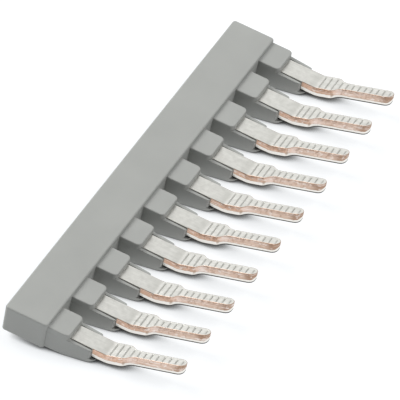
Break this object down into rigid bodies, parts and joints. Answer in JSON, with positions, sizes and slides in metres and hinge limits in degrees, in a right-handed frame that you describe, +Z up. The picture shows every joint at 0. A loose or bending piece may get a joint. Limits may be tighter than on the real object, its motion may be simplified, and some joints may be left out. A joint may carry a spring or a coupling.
{
  "type": "terminal block jumper",
  "caption": "Plug-in bridge for terminal blocks: a grey insulating bar with a row of teeth, each holding a tinned copper prong that bends up and narrows to a serrated pin.",
  "frame": {"origin": "centre of the bounding box in plan, at the height of the surface that the teeth stand on", "axes": "+X from the bar towards the tips of the prongs, +Y along the row of prongs, +Z up as the jumper lies on a table"},
  "size_m": [0.0318, 0.08, 0.0068],
  "materials": {
    "housing_plastic": "satin moulded grey",
    "tinned_copper": "tin plate over copper, bare copper on the sheared edges"
  },
  "bodies": {
    "root": {"insulating_housing": "housing_plastic", "contact_comb": "tinned_copper"}
  },
  "joints": []
}
